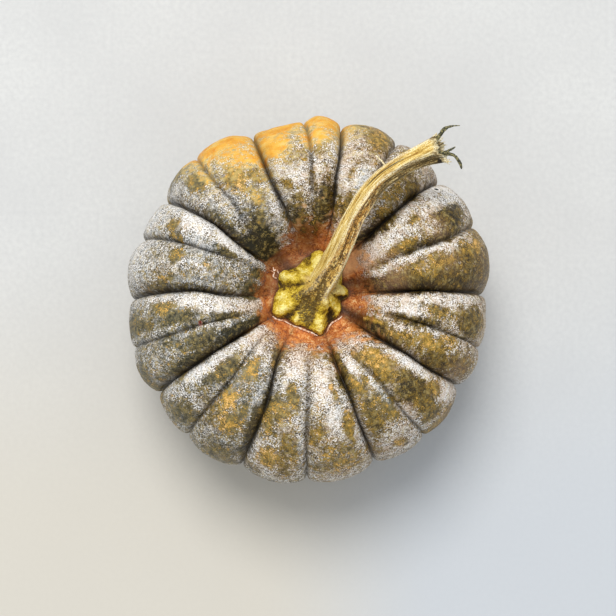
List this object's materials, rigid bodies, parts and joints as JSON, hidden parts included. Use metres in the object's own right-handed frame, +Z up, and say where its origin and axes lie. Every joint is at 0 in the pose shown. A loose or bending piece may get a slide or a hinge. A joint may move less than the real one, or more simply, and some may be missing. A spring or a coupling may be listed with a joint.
{
  "type": "winter squash",
  "caption": "Low, deeply ribbed winter squash: a whole fruit with a sunken top, a lobed stalk foot and a dry, bent stalk. It stands on the undersides of its ribs.",
  "frame": {"origin": "on the ground, under the middle of the fruit", "axes": "+Z up along the fruit's axis, +Y to the side that the stalk leans to, +X to the right of it"},
  "size_m": [0.1769, 0.1796, 0.1295],
  "materials": {
    "rind": "matte",
    "dry_stalk": "matte"
  },
  "bodies": {
    "root": {"fruit": "rind", "stalk": "dry_stalk"}
  },
  "joints": []
}
